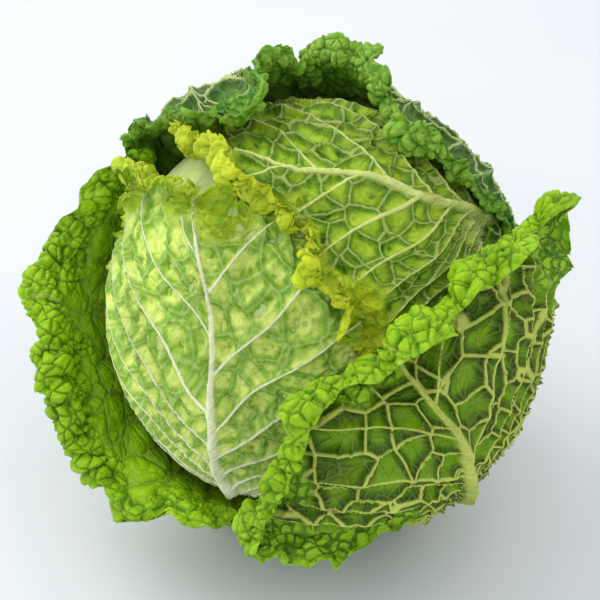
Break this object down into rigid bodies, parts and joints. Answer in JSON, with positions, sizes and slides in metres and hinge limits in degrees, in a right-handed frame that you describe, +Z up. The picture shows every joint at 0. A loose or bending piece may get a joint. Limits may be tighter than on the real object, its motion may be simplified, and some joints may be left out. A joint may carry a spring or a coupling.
{
  "type": "savoy cabbage head",
  "caption": "Round savoy cabbage head with closed pale inner leaves, loose crinkled dark green wrapper leaves and a cut stem, resting on a small flat spot.",
  "frame": {"origin": "centre of the small flat spot that the head rests on, under its lowest wrapper leaf", "axes": "+Z up; the crown leans about 20 degrees towards -X and 5 degrees towards -Y, the front of the head faces -Y, and the cut stem is below on the +X side"},
  "size_m": [0.2161, 0.2039, 0.1936],
  "materials": {
    "heart_leaf": "pale yellow tender leaf",
    "pale_leaf": "smooth pale green leaf with a waxy sheen",
    "young_leaf": "yellow-green quilted leaf with white veins and a waxy sheen",
    "wrapper_leaf": "dark green blistered leaf with pale veins",
    "stem": "pale fibrous stem with a dry cut end"
  },
  "bodies": {
    "root": {"heart": "heart_leaf", "stem": "stem", "inner_leaf_1": "heart_leaf", "inner_leaf_2": "heart_leaf", "inner_leaf_3": "heart_leaf", "inner_leaf_4": "heart_leaf", "head_leaf_back": "pale_leaf", "head_leaf_crown": "pale_leaf", "head_leaf_front": "young_leaf", "head_leaf_top": "young_leaf", "wrapper_leaf_right": "wrapper_leaf", "wrapper_leaf_left": "wrapper_leaf", "wrapper_leaf_back_left": "wrapper_leaf", "wrapper_leaf_back": "wrapper_leaf", "wrapper_leaf_under": "wrapper_leaf", "wrapper_leaf_front": "wrapper_leaf"}
  },
  "joints": []
}
